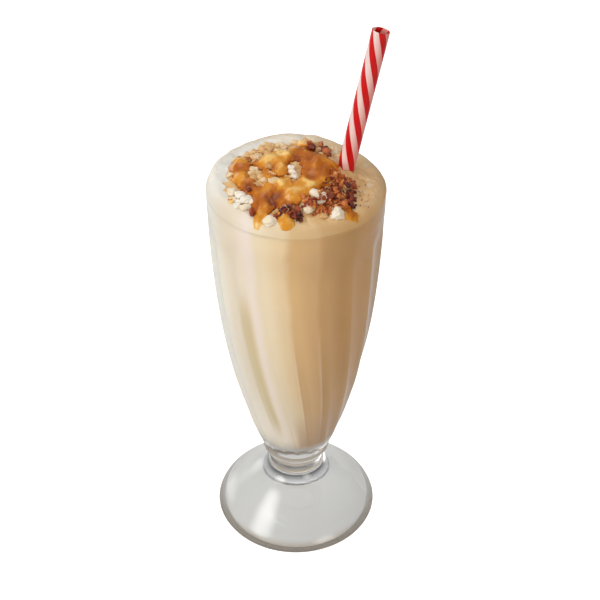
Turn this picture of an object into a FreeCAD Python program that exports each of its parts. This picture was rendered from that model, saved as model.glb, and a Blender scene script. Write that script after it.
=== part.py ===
import FreeCAD, Part
import math
import os
from FreeCAD import Vector

# A butterscotch milkshake in a footed, fluted soda-fountain glass, with a frothy head, a heap of
# topping under butterscotch sauce, and one striped straw. Lengths are millimetres. Z is up; the
# origin is the centre of the foot where it stands, and -Y is the front.

# Glass ------------------------------------------------------------------------------------------
GLASS_HEIGHT = 197.0
LIP_RADIUS = 39.9
LIP_WALL = 2.6
FOOT_RADIUS = 40.5
FOOT_RING_INNER = 33.6
FOOT_RING_OUTER = 36.9
RECESS_DEPTH = 12.5         # of the dome under the foot
CAVITY_FLOOR = 47.6
FLUTES = 18
FLUTE_TOP = 187.0
FLUTE_FULL = 172.0
FLUTE_BOTTOM = 43.5
FLUTE_DEPTH = 0.033         # of the bowl radius at that height
FLUTE_SWIRL = 15.0          # degrees of drift over FLUTE_SWIRL_DROP, growing as the square
FLUTE_SWIRL_DROP = 107.0
FLUTE_START = -1.5          # azimuth of one arris at the lip, degrees from the front

# Height and outer radius of the bowl over the arrises.
BOWL_PROFILE = [
    (40.0, 14.6), (44.0, 16.4), (58.0, 21.7), (75.0, 26.3), (95.0, 31.1), (120.0, 35.2),
    (145.0, 37.8), (170.0, 39.4), (185.0, 39.8), (198.0, 39.9),
]

# Height and wall thickness of the bowl, measured from the arrises.
WALL_PROFILE = [(58.0, 4.7), (75.0, 4.3), (95.0, 3.9), (120.0, 3.6), (145.0, 3.4), (172.0, 3.1)]

# Contents ---------------------------------------------------------------------------------------
CLEARANCE = 0.05
FOAM_BASE = 193.5
FOAM_EDGE = 197.5
FOAM_RADIUS = 39.7
FOAM_CROWN = 3.9            # rise of the head above its edge at the middle
FOAM_SHOULDER = 18.0        # how sharply the head rounds down at its edge
HEAP_RISE = 6.4
SAUCE_DEPTH = 1.9
SAUCE_EDGE = 2.2            # over how many millimetres the sauce thins out at its edge

# Points each way in the grids of the three uneven surfaces. No two are the same, so that the
# surfaces cross cleanly where they lie close together.
FOAM_GRID = 57
HEAP_GRID = 33
SAUCE_GRID = 49

# Rise of the head inside its rounded edge, every 45 degrees from the front by way of +X. It stands
# high at the back and left, and it is level with the lip where the straw leans out.
RIM_RISE = [3.2, 2.6, 0.4, 1.6, 5.5, 4.9, 7.2, 4.5]

# Lumps of the heap: x, y, radius, height.
LUMPS = [
    (10, -14, 4.5, 3.0), (5.5, -24.5, 4.2, 3.0), (18, -27, 4.2, 2.6), (-24.5, -15.5, 4.0, 2.4),
    (-22, -21.5, 3.6, 2.2), (-11, -31.5, 3.6, 2.2), (-7, 23.5, 3.8, 2.0), (-26, 10, 4.0, 2.4),
    (-1, 3, 4.6, 2.8), (-11.5, -4, 4.2, 2.0), (-22, 1, 4.2, 2.0), (-10, 11.5, 5.0, 3.2),
    (9, 7.5, 5.5, 2.8), (-2.5, -10, 5.5, 2.5), (23, -15, 3.6, 2.0), (12.5, 19.5, 3.6, 2.4),
    (1.5, -29, 3.6, 2.0), (-18, -9.5, 4.5, 2.2), (-12, -20, 5.0, 2.6), (3.5, 20.5, 4.2, 2.6),
    (16.5, 1, 4.4, 2.0), (14.5, -6, 4.2, 1.8), (-16.5, 16.5, 4.2, 2.2), (12, -22, 3.8, 2.0),
]

# Plan of the sauce as tapering strokes: x, y, radius at one end, then at the other.
SAUCE_STROKES = [
    (-25, 7, 4.4, -24, -5, 4.6), (-24, -6, 4.0, -18.5, -14.5, 3.6), (-18.5, -15, 3.4, -14, -20, 5.0),
    (-14, -19, 5.4, -13.5, -26, 4.8), (-14.5, -27, 3.8, -15.5, -35, 2.7), (-15, 2, 3.8, -7, 7, 5.4),
    (-7, 6, 5.2, -7, -4, 3.8), (-6, 9, 5.0, 4, 11, 6.0), (4, 10, 6.8, 12, 2, 7.2),
    (9, 2, 7.4, 10, -7, 6.8), (9, -7, 6.4, 2, -17, 5.6), (3, -14, 5.6, -1, -21.5, 4.8),
    (-5, -13, 4.8, -3, -20, 5.2), (-10, -13, 3.4, -13, -18, 4.6), (5, 13, 4.2, 4.5, 22.5, 4.2),
    (-6, -25, 2.6, -4.5, -34.5, 2.8), (24, -28, 3.0, 22.5, -24, 2.6),
]

# Straw ------------------------------------------------------------------------------------------
STRAW_RADIUS = 3.9
STRAW_BORE = 3.6
STRAW_AT_LIP = (21.3, 8.2)  # where the axis crosses the height of the lip
STRAW_LEAN = (0.213, 0.100)  # sideways and backwards travel per millimetre of rise
STRAW_TOP_Z = 265.0
STRAW_END_Z = 62.0


def smooth_step(low, high, value):
    """0 below low, 1 above high, with a smooth rise between."""
    u = min(1.0, max(0.0, (value - low) / (high - low)))
    return u * u * (3.0 - 2.0 * u)


def table_value(table, z):
    """Smooth value of a (height, value) table at height z."""
    last = len(table) - 1
    z = min(max(z, table[0][0]), table[last][0])
    i = 0
    while i < last - 1 and z > table[i + 1][0]:
        i += 1

    def slope(k):
        a = table[max(k - 1, 0)]
        b = table[min(k + 1, last)]
        return (b[1] - a[1]) / (b[0] - a[0])

    step = table[i + 1][0] - table[i][0]
    u = (z - table[i][0]) / step
    rise = table[i + 1][1] - table[i][1]
    cubic = (slope(i) + slope(i + 1)) * step - 2.0 * rise
    square = 3.0 * rise - (2.0 * slope(i) + slope(i + 1)) * step
    return table[i][1] + slope(i) * step * u + square * u * u + cubic * u * u * u


def spline_edge(points):
    """An edge through (radius, height) points in the XZ plane."""
    curve = Part.BSplineCurve()
    curve.interpolate([Vector(r, 0, z) for r, z in points])
    return curve.toShape()


def line_edge(a, b):
    return Part.makeLine(Vector(a[0], 0, a[1]), Vector(b[0], 0, b[1]))


def arc_edge(a, middle, b):
    return Part.Arc(*[Vector(r, 0, z) for r, z in (a, middle, b)]).toShape()


def turned(edges):
    """The solid turned about Z by a closed profile in the XZ plane."""
    face = Part.Face(Part.Wire(edges))
    solid = face.revolve(Vector(0, 0, 0), Vector(0, 0, 1), 360)
    if solid.Volume < 0:
        solid.reverse()
    return solid


def height_slab(height, half, count, depth):
    """A square block whose top follows height(x, y)."""
    rows = []
    for i in range(count):
        x = -half + 2.0 * half * i / (count - 1)
        row = []
        for j in range(count):
            y = -half + 2.0 * half * j / (count - 1)
            row.append(Vector(x, y, height(x, y)))
        rows.append(row)
    surface = Part.BSplineSurface()
    surface.interpolate(rows)
    slab = surface.toShape().extrude(Vector(0, 0, -depth))
    if slab.Volume < 0:
        slab.reverse()
    return slab


# Glass ------------------------------------------------------------------------------------------
def flute_section(z):
    """Closed wire of one bowl section: shallow hollows between crisp arrises."""
    radius = table_value(BOWL_PROFILE, z)
    depth = FLUTE_DEPTH * radius * (1.0 - smooth_step(FLUTE_FULL, FLUTE_TOP, z))
    drop = (FLUTE_TOP - z) / FLUTE_SWIRL_DROP
    start = math.radians(FLUTE_START + FLUTE_SWIRL * drop * drop)
    pitch = 2.0 * math.pi / FLUTES

    def at(angle, r):
        return Vector(r * math.sin(angle), -r * math.cos(angle), z)

    edges = []
    for k in range(FLUTES):
        first = at(start + k * pitch, radius)
        middle = at(start + (k + 0.5) * pitch, radius - depth)
        second = at(start + (k + 1) * pitch, radius)
        control = middle * 2.0 - (first + second) * 0.5
        curve = Part.BezierCurve()
        curve.setPoles([first, control, second])
        edges.append(curve.toShape())
    return Part.Wire(edges)


def make_bowl():
    heights = [FLUTE_BOTTOM, 50, 58, 68, 80, 94, 110, 128, 146, 160, 170, 176, 182, FLUTE_TOP]
    return Part.makeLoft([flute_section(z) for z in heights], True, False)


def make_lip_band():
    """The plain band above the flutes, rounded at the lip."""
    proud = 0.02
    outer = LIP_RADIUS
    inner = LIP_RADIUS - LIP_WALL - 2.0
    middle = LIP_RADIUS - LIP_WALL / 2.0
    round_z = GLASS_HEIGHT - LIP_WALL / 2.0
    low_radius = table_value(BOWL_PROFILE, FLUTE_TOP) + proud
    return turned([
        line_edge((inner, FLUTE_TOP - 0.2), (low_radius, FLUTE_TOP - 0.2)),
        line_edge((low_radius, FLUTE_TOP - 0.2), (outer, round_z)),
        arc_edge((outer, round_z), (middle + LIP_WALL * 0.3536, GLASS_HEIGHT - LIP_WALL * 0.1464),
                 (middle, GLASS_HEIGHT)),
        line_edge((middle, GLASS_HEIGHT), (inner, GLASS_HEIGHT)),
        line_edge((inner, GLASS_HEIGHT), (inner, FLUTE_TOP - 0.2)),
    ])


def make_foot():
    """Bead under the bowl, short waist, domed foot with a rounded edge and a domed recess."""
    sphere = (FOOT_RING_INNER ** 2 + RECESS_DEPTH ** 2) / (2.0 * RECESS_DEPTH)
    halfway = FOOT_RING_INNER / 2.0
    return turned([
        arc_edge((0, RECESS_DEPTH),
                 (halfway, RECESS_DEPTH - sphere + math.sqrt(sphere ** 2 - halfway ** 2)),
                 (FOOT_RING_INNER, 0)),
        line_edge((FOOT_RING_INNER, 0), (FOOT_RING_OUTER, 0)),
        arc_edge((FOOT_RING_OUTER, 0), (39.3, 0.9), (FOOT_RADIUS, 2.9)),
        spline_edge([(FOOT_RADIUS, 2.9), (39.7, 4.9), (36.6, 9.0), (32.0, 13.9), (26.0, 19.6),
                     (20.0, 24.9), (15.8, 28.4), (13.9, 31.4)]),
        line_edge((13.9, 31.4), (13.4, 38.3)),
        spline_edge([(13.4, 38.3), (13.9, 39.6), (15.5, 40.6), (16.7, 42.2), (16.6, 43.9),
                     (15.6, 45.6)]),
        line_edge((15.6, 45.6), (0, 47.0)),
        line_edge((0, 47.0), (0, RECESS_DEPTH)),
    ])


def cavity_points():
    """Inner profile of the bowl from the centre of its floor to the lip: radius, height."""
    points = [(0.0, CAVITY_FLOOR), (5.0, CAVITY_FLOOR + 0.6), (10.4, 50.0), (14.2, 53.6)]
    for z in (58, 66, 75, 85, 95, 108, 120, 133, 145, 158, 172, 185):
        wall = table_value(WALL_PROFILE, z)
        wall -= (3.1 - LIP_WALL) * smooth_step(172.0, 190.0, z)
        points.append((table_value(BOWL_PROFILE, z) - wall, float(z)))
    points.append((LIP_RADIUS - LIP_WALL, GLASS_HEIGHT - LIP_WALL / 2.0))
    return points


def make_cavity():
    """Everything taken out of the glass, with the inner half of the rounded lip."""
    wall = cavity_points()
    rim = wall[-1]
    middle = LIP_RADIUS - LIP_WALL / 2.0
    top = GLASS_HEIGHT + 5.0
    return turned([
        spline_edge(wall),
        arc_edge(rim, (middle - LIP_WALL * 0.3536, GLASS_HEIGHT - LIP_WALL * 0.1464),
                 (middle, GLASS_HEIGHT)),
        line_edge((middle, GLASS_HEIGHT), (middle, top)),
        line_edge((middle, top), (0, top)),
        line_edge((0, top), (0, CAVITY_FLOOR)),
    ])


def make_glass():
    body = make_bowl().fuse([make_lip_band(), make_foot()])
    return body.cut(make_cavity())


# Straw ------------------------------------------------------------------------------------------
def straw_point(z):
    rise = z - GLASS_HEIGHT
    x = STRAW_AT_LIP[0] + STRAW_LEAN[0] * rise
    y = STRAW_AT_LIP[1] + STRAW_LEAN[1] * rise
    return Vector(x, y, z)


def straw_rod(radius, extra):
    """A rod on the straw's axis, longer than the straw by extra at both ends."""
    low = straw_point(STRAW_END_Z)
    axis = straw_point(STRAW_TOP_Z) - low
    length = axis.Length + 2.0 * extra
    axis.normalize()
    return Part.makeCylinder(radius, length, low - axis * extra, axis)


def make_straw():
    return straw_rod(STRAW_RADIUS, 0.0).cut(straw_rod(STRAW_BORE, 5.0))


# Drink and head ---------------------------------------------------------------------------------
def contents_profile():
    """Inner profile of the bowl, a hair clear of the wall."""
    points = [(r - CLEARANCE, z) for r, z in cavity_points()[1:]]
    return [(0.0, CAVITY_FLOOR + CLEARANCE)] + points


def make_contents():
    """Everything inside the bowl up to just under the lip."""
    wall = contents_profile()
    rim = wall[-1]
    return turned([
        spline_edge(wall),
        line_edge(rim, (0, rim[1])),
        line_edge((0, rim[1]), wall[0]),
    ])


def make_milkshake(tunnel):
    keep = Part.makeCylinder(60, FOAM_BASE, Vector(0, 0, 0))
    return make_contents().common(keep).cut(tunnel)


def rim_rise(azimuth):
    """Smooth value of RIM_RISE at an azimuth in radians."""
    count = len(RIM_RISE)
    turn = (azimuth / (2.0 * math.pi) * count) % count
    i = int(turn)
    u = turn - i
    a, b, c, d = [RIM_RISE[(i + k) % count] for k in (-1, 0, 1, 2)]
    bend = (2.0 * a - 5.0 * b + 4.0 * c - d) * u + (3.0 * b - a - 3.0 * c + d) * u * u
    return b + 0.5 * u * (c - a + bend)


def foam_height(x, y):
    r = math.hypot(x, y)
    share = (r / FOAM_RADIUS) ** 2
    crown = FOAM_CROWN + (rim_rise(math.atan2(x, -y)) - FOAM_CROWN) * share
    edge = r / (FOAM_RADIUS + 0.7)
    fall = edge ** FOAM_SHOULDER if edge < 1.0 else 1.0 + FOAM_SHOULDER * (edge - 1.0)
    ripple = 0.22 * math.sin(0.21 * x + 0.9) * math.cos(0.24 * y - 0.4)
    return FOAM_EDGE + crown * (1.0 - fall) + ripple


def make_foam(tunnel):
    """The head: a plug below the lip and a cap that covers it."""
    z = GLASS_HEIGHT + CLEARANCE
    middle = LIP_RADIUS - LIP_WALL / 2.0
    rim = contents_profile()[-1]
    low = Part.makeCylinder(60, 30, Vector(0, 0, FOAM_BASE))
    plug = make_contents().common(low)
    cap = turned([
        line_edge((0, rim[1] - 0.5), (rim[0] - 0.4, rim[1] - 0.5)),
        line_edge((rim[0] - 0.4, rim[1] - 0.5), rim),
        line_edge(rim, (rim[0] + 0.25, rim[1] + 0.95)),
        line_edge((rim[0] + 0.25, rim[1] + 0.95), (middle - 0.5, z)),
        line_edge((middle - 0.5, z), (FOAM_RADIUS, z)),
        line_edge((FOAM_RADIUS, z), (FOAM_RADIUS, 215)),
        line_edge((FOAM_RADIUS, 215), (0, 215)),
        line_edge((0, 215), (0, rim[1] - 0.5)),
    ])
    top = height_slab(foam_height, 42.0, FOAM_GRID, 16.0)
    return plug.fuse(cap.common(top)).cut(tunnel)


# Topping ----------------------------------------------------------------------------------------
def heap_outline(x, y):
    azimuth = math.atan2(x, -y)
    return 30.0 + 3.5 * math.cos(azimuth + 0.26) + 0.8 * math.sin(5.0 * azimuth + 0.7)


def heap_height(x, y):
    ratio = math.hypot(x, y) / heap_outline(x, y)
    z = foam_height(x, y) + HEAP_RISE * max(1.0 - ratio ** 2.6, -0.75)
    for lump_x, lump_y, radius, rise in LUMPS:
        away = ((x - lump_x) ** 2 + (y - lump_y) ** 2) / radius ** 2
        z += rise * math.exp(-1.5 * away)
    return z


def make_topping(foam, tunnel):
    heap = height_slab(heap_height, 40.0, HEAP_GRID, 14.0)
    bound = Part.makeCylinder(FOAM_RADIUS - 0.4, 60, Vector(0, 0, GLASS_HEIGHT + CLEARANCE))
    heap = heap.common(bound)
    return largest(heap.cut([foam, tunnel]))


def stroke_depth(x, y):
    """Distance inside the strokes of sauce, negative outside them."""
    depth = -math.inf
    for ax, ay, first, bx, by, second in SAUCE_STROKES:
        dx = bx - ax
        dy = by - ay
        u = ((x - ax) * dx + (y - ay) * dy) / (dx * dx + dy * dy)
        u = min(1.0, max(0.0, u))
        radius = first + (second - first) * u
        depth = max(depth, radius - math.hypot(x - ax - u * dx, y - ay - u * dy))
    return depth


def sauce_height(x, y):
    ground = max(heap_height(x, y), foam_height(x, y))
    share = stroke_depth(x, y) / SAUCE_EDGE
    return ground + SAUCE_DEPTH * max(-1.0, min(1.0, share + 0.15))


def make_sauce(foam, topping, tunnel):
    sheet = height_slab(sauce_height, 42.0, SAUCE_GRID, 14.0)
    bound = Part.makeCylinder(FOAM_RADIUS, 60, Vector(0, 0, GLASS_HEIGHT + CLEARANCE))
    sheet = sheet.common(bound).cut([foam, topping, tunnel])
    return Part.makeCompound([solid for solid in sheet.Solids if solid.Volume > 10.0])


def largest(shape):
    """The largest solid of a shape, without stray slivers."""
    return max(shape.Solids, key=lambda solid: solid.Volume)


def main():
    os.makedirs("parts", exist_ok=True)
    tunnel = straw_rod(STRAW_RADIUS + CLEARANCE, 0.5)
    foam = largest(make_foam(tunnel))
    topping = make_topping(foam, tunnel)
    shapes = {
        "glass": make_glass(),
        "milkshake": largest(make_milkshake(tunnel)),
        "foam": foam,
        "topping": topping,
        "sauce": make_sauce(foam, topping, tunnel),
        "straw": make_straw(),
    }
    for node, shape in shapes.items():
        shape.exportStep("parts/" + node + ".step")
        box = shape.BoundBox
        print(node, "solids", len(shape.Solids), "valid", shape.isValid(), "volume",
              round(shape.Volume / 1000.0, 2), "cm3, z", round(box.ZMin, 2), round(box.ZMax, 2))


main()
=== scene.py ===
"""Looks of a butterscotch milkshake in a fluted soda glass. Sizes are millimetres until meshes are made."""

import math
from functools import partialmethod

import bmesh
import bpy
import numpy as np
from mathutils import Matrix, Quaternion, Vector


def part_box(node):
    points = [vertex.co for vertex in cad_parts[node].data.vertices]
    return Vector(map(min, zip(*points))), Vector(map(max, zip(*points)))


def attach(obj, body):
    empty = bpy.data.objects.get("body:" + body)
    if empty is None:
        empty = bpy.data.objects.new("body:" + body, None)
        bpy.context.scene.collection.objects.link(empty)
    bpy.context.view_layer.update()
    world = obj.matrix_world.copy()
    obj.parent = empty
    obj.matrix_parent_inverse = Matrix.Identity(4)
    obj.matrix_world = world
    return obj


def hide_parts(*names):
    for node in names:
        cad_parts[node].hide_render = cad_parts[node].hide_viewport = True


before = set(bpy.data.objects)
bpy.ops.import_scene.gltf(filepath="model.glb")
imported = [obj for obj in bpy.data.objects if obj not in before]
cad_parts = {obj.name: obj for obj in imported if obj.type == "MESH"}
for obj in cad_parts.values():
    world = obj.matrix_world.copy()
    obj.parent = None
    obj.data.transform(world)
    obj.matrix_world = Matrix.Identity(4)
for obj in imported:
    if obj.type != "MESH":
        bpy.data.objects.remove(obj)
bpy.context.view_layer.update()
MM = 0.001
TAU = 2 * math.pi

# --- Glass: the same sizes as the solid ---
LIP_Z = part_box("glass")[1].z / MM
LIP_RADIUS = 39.9
LIP_WALL = 2.6
FOOT_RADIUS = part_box("glass")[1].x / MM - 0.02
RING_INNER = 33.6  # the ring that the foot stands on
RING_OUTER = 36.9
RECESS_DEPTH = 12.5
CAVITY_FLOOR = 47.6
FLUTES = 18
FLUTE_TOP = 187
FLUTE_FULL = 172
FLUTE_BOTTOM = 43.5
FLUTE_END = 45  # no hollow is left at this height
FLUTE_FADE = 20  # height over which the hollows run out above it
FLUTE_DEPTH = 0.033  # share of the radius
FLUTE_SWIRL = 15  # degrees of drift over SWIRL_DROP
SWIRL_DROP = 107
FLUTE_START = -1.5
FLUTE_STEPS = 20

# Height and radius of the bowl, and height and thickness of its wall.
BOWL_PROFILE = [
    (40, 14.6), (44, 16.4), (58, 21.7), (75, 26.3), (95, 31.1), (120, 35.2), (145, 37.8), (170, 39.4),
    (185, 39.8), (198, 39.9),
]
WALL_PROFILE = [(58, 4.7), (75, 4.3), (95, 3.9), (120, 3.6), (145, 3.4), (172, 3.1)]

# Radius and height of what lies under the bowl.
FOOT_PROFILE = [
    (FOOT_RADIUS, 2.9), (39.7, 4.9), (36.6, 9), (32, 13.9), (26, 19.6), (20, 24.9), (15.8, 28.4),
    (13.9, 31.4),
]
WAIST_PROFILE = [(13.75, 33), (13.55, 36), (13.4, 38.3)]
BEAD_PROFILE = [(13.4, 38.3), (13.9, 39.6), (15.5, 40.6), (16.7, 42.2), (16.6, 43.9), (16.45, 44.6)]
NECK_SHADE_Z = 41  # height of a painted shade: the glass is coloured darker round here

# Colour of the drink by flutes from the front one to the right. The pale left flutes and the steps from
# flute to flute are partly froth and partly painted reflection and painted light, which the flutes would
# reflect and gather.
DRINK_TONES = [
    (-3.6, (236, 232, 222)), (-2.3, (234, 220, 198)), (-1.5, (242, 228, 216)), (-1.15, (238, 222, 192)),
    (-0.4, (238, 214, 174)), (-0.05, (226, 188, 132)), (0.7, (224, 184, 130)), (1, (212, 168, 108)),
    (1.8, (210, 162, 96)), (2.6, (216, 167, 104)), (3.6, (218, 177, 124)),
]
TONES_REACH = 4.5  # flutes to each side of the front one that the tones cover
SWIRL_END = 1.2  # the drift of the tones stops growing here
STEP_SHIFT = 0.17  # the tones step this much, in flutes, before an arris
SHADE_STREAK_AT = -2  # flute with a painted olive streak of shade

# --- Contents ---
INTO_WALL = 0.25  # how far the drink reaches into the glass, so that no air gap shows
FLARE_LOW = 170  # above this the contents reach further into the wall, up to the lip
FLARE_FULL = 193
FLARE = 2.25
FOAM_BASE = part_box("foam")[0].z / MM
FOAM_EDGE = 197.5
FOAM_RADIUS = 39.7
FOAM_CROWN = 3.9
FOAM_SHOULDER = 18
SHOULDER_START = 35.5  # beyond this radius the head is rounded off a little more
SHOULDER_DROP = 1.5
FOAM_LAP = 0.16  # how far froth laps out over the lip
LAP_LOW = 195  # how far down the outside the froth reaches
RIM_RISE = [3.2, 2.6, 0.4, 1.6, 5.5, 4.9, 7.2, 4.5]  # round the head from the front to the right
HEAP_RADIUS = 30
HEAP_RISE = 6.4
HEAP_SINK = 1.4  # how far the cream core lies below the solid's surface
CORE_WARMTH = 0.72
SWELL = 1.2  # how much more than their rise the lumps under the sauce stand out

# Uneven surfaces: height, size and seed of each set of waves.
FOAM_RELIEF = [(0.2, 10, 11), (0.06, 3.6, 12), (0.02, 1.5, 13)]
CORE_RELIEF = [(0.3, 5, 31), (0.16, 2, 32)]
LUMP_RELIEF = [(0.12, 1.7, 61), (0.0525, 0.7, 561), (0.0225, 0.3, 961)]
SAUCE_WANDER = [(0.45, 6, 41), (0.2, 2.6, 42)]
SAUCE_UNEVEN = [(0.14, 7, 43)]

# Lumps of cream that show: x, y, radius, squash, and warmth from 0, white, to 1, buttery brown.
CREAM_LUMPS = [
    (-2.2, -2, 1.6, 1, 0.1), (-1.7, -4.6, 1.5, 0.9, 0.12), (-0.7, -7, 1.8, 0.9, 0.16),
    (9.4, -20.4, 3.4, 0.9, 0.16), (5.4, -26.2, 3.4, 0.8, 0.25), (17.4, -27.8, 3.5, 0.9, 0.16),
    (-11, -33, 2.9, 0.7, 0.2), (-4.8, -29.6, 2.9, 0.9, 0.45), (-27.4, -14.4, 2.2, 0.35, 0.25),
    (-24, -17.2, 2.6, 0.4, 0.1), (-26.8, -18.6, 1.8, 0.35, 0.2), (-21.4, -20.4, 2.6, 0.4, 0.06),
    (-25, -22.4, 2.2, 0.35, 0.15), (-21.6, -24.6, 2.2, 0.4, 0.2), (-23.6, -20, 1.7, 0.5, 0.05),
    (-18.8, -21.8, 1.8, 0.5, 0.15), (-18.8, -1, 2, 0.7, 0.48), (-16.6, -3.6, 1.8, 0.6, 0.58),
    (-17.2, 9.4, 2.8, 0.7, 0.5), (-21, 16, 2.4, 0.7, 0.5), (-7.2, 20.4, 2.8, 0.7, 0.45),
    (17.6, 21.6, 3.2, 0.9, 0.45), (18.4, 14, 2.6, 0.9, 0.5), (-12.6, -8.8, 2.6, 0.4, 0.5),
    (-15.2, -6.4, 2, 0.5, 0.6), (-10.6, -5.4, 2, 0.5, 0.52), (-9.2, -12.4, 2.4, 0.4, 0.5),
    (-12.6, -12.2, 1.6, 0.5, 0.55), (-14, 15.6, 3, 0.8, 0.7), (-26, 11.8, 2, 0.7, 0.6),
    (-13, 23, 2.2, 0.6, 0.6), (-0.6, 25.4, 2.2, 0.7, 0.5), (11.6, -29.6, 2, 0.6, 0.75),
    (22, -10, 2.4, 0.7, 0.85),
]
LUMPS_IN_ALL = 66  # with the smaller ones scattered at the back
LUMP_TRIES = 6000
LUMP_SEAT = 0.3  # height of a lump's middle above the core, as a share of its radius
LUMPS_LEVEL = 203  # height at which lumps are kept clear of the straw
CRUMBS_LEVEL = 204

# Lumps under the sauce: x, y, radius, rise.
COATED_LUMPS = [
    (-25, 4, 5.6, 3.2), (-24, -5, 4.6, 1.8), (-12.5, 4, 5.6, 3.2), (-5.5, 8, 5.6, 3), (-7, -1, 4, 1.8),
    (4, 10, 6.4, 2.4), (11, 2, 8.4, 3.6), (11, -8, 6, 1.6), (5, -15, 5.8, 2.4), (-1, -21, 6.2, 3.4),
    (-7, -15, 5.2, 2.2), (-14.5, -19, 5, 2), (-13, -26, 5.2, 2), (4, 21, 4.8, 4.2), (-16, -35, 3.2, 1.6),
    (-3.8, -35.4, 3, 1.6), (-19.5, -11, 3.8, 0.8),
]

# Plan of the sauce as tapering strokes: x, y, radius at one end, then at the other.
SAUCE_STROKES = [
    (-25, 7, 4.4, -24, -5, 4.6), (-24, -6, 4, -18.5, -14.5, 3.6), (-18.5, -15, 3.4, -14, -20, 5),
    (-14, -19, 5.4, -13.5, -26, 4.8), (-14.5, -27, 3.8, -16.2, -35.2, 2.8), (-15, 2, 3.8, -7, 7, 5.4),
    (-7, 6, 5.2, -7, -4, 3.8), (-6, 9, 5, 4, 11, 6), (4, 10, 6.8, 12, 2, 7.2), (9, 2, 7.4, 10, -7, 6.8),
    (9, -7, 6.4, 2, -17, 5.6), (3, -14, 5.6, -1, -21.5, 4.8), (-5, -13, 4.8, -3, -20, 5.2),
    (-10, -13, 3.4, -13, -18, 4.6), (5, 13, 4.2, 4.5, 22.5, 4.2), (-6, -25, 2.6, -4, -35, 3.5),
    (24, -28, 3, 22.5, -24, 2.6),
]

# Smaller runs, smears and drops, and the thin coat in the middle.
SAUCE_EXTRAS = [
    (-13, -4, 2.6, -11, -9, 3), (-10, -19, 3.2, -5, -24, 3.4), (-28.4, -20.6, 1.5, -28, -18.8, 1),
    (-18, -33, 1.7, -24.5, -29, 1.2), (-18, 14, 1.2, -14, 16.5, 1.4), (14, 15, 1.6, 12.5, 10, 2.4),
]
SAUCE_DEPTH = 1.7
COAT_DEPTH = 0.8  # of the smaller runs and smears
GRID_STEP = 0.3  # the sauce is worked out on a grid this fine
GRID_HALF = FOAM_RADIUS + 1

# Where the sauce is browner, or more golden below 0: x, y, radius, amount.
# Partly the sauce's own colour, partly painted: the brown spots in shadowed gaps, in the gap at the back
# and on the right mass turned from the light are painted shade; the golden ones on the upper arch and the
# left blob are partly painted highlight.
SAUCE_TONES = [
    (9, 2, 9.5, 0.2), (14, -6, 6.5, 0.2), (3, 10, 6, 0.16), (-13.5, -24, 6, 0.3), (-25, 0, 5, 0.26),
    (-24.5, 6, 3.4, -0.06), (-19.5, -14.5, 4, 0.34), (-3.5, -13, 6, -0.1), (0, -22.5, 5, 0.05),
    (6.5, 15, 3.5, 0.4), (2, 24, 4, -0.1), (24, -26, 4, 0.35), (-15.5, -36, 3, 0.02), (-3.8, -36, 3, 0.08),
    (-8, 9, 5.5, -0.18),
]
SAUCE_BROWN = 0.17  # how brown it is all over

# Where toasted crumbs gather: x, y, half width, half depth, how many, largest size, tone from 0, dark.
CRUMB_ZONES = [
    (18, -18, 6, 5, 40, 4.6, 0.3), (8, -26, 5, 2.4, 34, 3.6, 0.42), (-1.6, -29.6, 3.2, 2, 24, 4.4, 0.08),
    (21, -7, 4.5, 4, 30, 4, 0.5), (-1, -30.5, 3.8, 2.4, 60, 2.8, 0.1), (9, -26.5, 5.5, 2.8, 300, 1.8, 0.6),
    # Painted shade: the dark crumbs at (23.5, -17) and (17, -11), and the darkest ones at (7, 16.5), lie
    # where the heap is in shadow.
    (12.5, -22.5, 3, 2.5, 60, 1.9, 0.45), (17, -20, 6, 5.5, 360, 2, 0.56), (23.5, -17, 2, 5.5, 100, 3, 0.1),
    (20.5, -6.5, 5, 4.6, 260, 1.8, 0.64), (17, -11, 4, 4, 80, 2, 0.2), (13.5, 17, 1.6, 4.6, 16, 2.8, 0.2),
    (-28.4, -19.6, 0.8, 0.8, 3, 2.4, 0.85), (28.5, -12, 3, 8, 40, 0.8, 0.35),
    (0, -4, 22, 22, 30, 0.8, 0.45), (7, 16.5, 1, 2.6, 10, 2.4, 0.05), (-6, -30.6, 2.2, 1.8, 26, 3.2, 0.16),
    (-9, -5, 3.6, 3, 60, 0.8, 0.8), (-13, 15, 9, 7, 70, 1.1, 0.75), (-20, 12, 5, 8, 12, 1.6, 0.45),
]
CRUMB_SPREAD = 1.7  # crumbs gather by a bell curve, cut off this many spreads out

# Larger pieces of toffee: x, y, half width, half depth, half height, tone.
SHARDS = [
    (-18.9, -28, 1.6, 4, 1.8, 0.26), (-8.4, -31.4, 1.6, 2.4, 1.6, 0.24), (13.4, 17, 2.8, 3.6, 2.4, 0.36),
    (14.8, 12, 1.4, 2.2, 1.6, 0.12), (11.4, 22, 1.4, 2.4, 1.8, 0.38), (-20.4, -16.4, 1.3, 1.5, 1.1, 0.1),
    # The dark shard at (7.4, 16) is partly a maroon piece and partly painted shade in the gap at the back.
    (7.4, 16, 2, 2.6, 1.6, 0.06),
]

# --- Straw ---
STRAW_RADIUS = 3.9
STRAW_BORE = 3.6
STRAW_AT_LIP = (21.3, 8.2)
STRAW_LEAN = (0.213, 0.1)
STRAW_TOP_Z = 265
STRAW_END_Z = 62
STRIPE_STARTS = 4
STRIPE_PITCH = 14.65  # along the straw, from one red stripe to the next
STRIPE_PHASE = 0.01  # share of the pitch at which a red stripe begins, at the front

# --- Surroundings, in metres ---
FLOOR_HALF = 3
FLOOR_GLOW = 0.8  # how much the floor glows to the camera
GLASS_SHARE = 0.12  # share of that glow which glass and gloss see
SKY_LOW = 0.12  # strength of the world at its horizon and overhead
SKY_HIGH = 0.6
LAMP_TARGET = (0, 0, 0.12)
LAMP_STRENGTH = 2.85  # in the middle of a lamp, which fades to its edge

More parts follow.
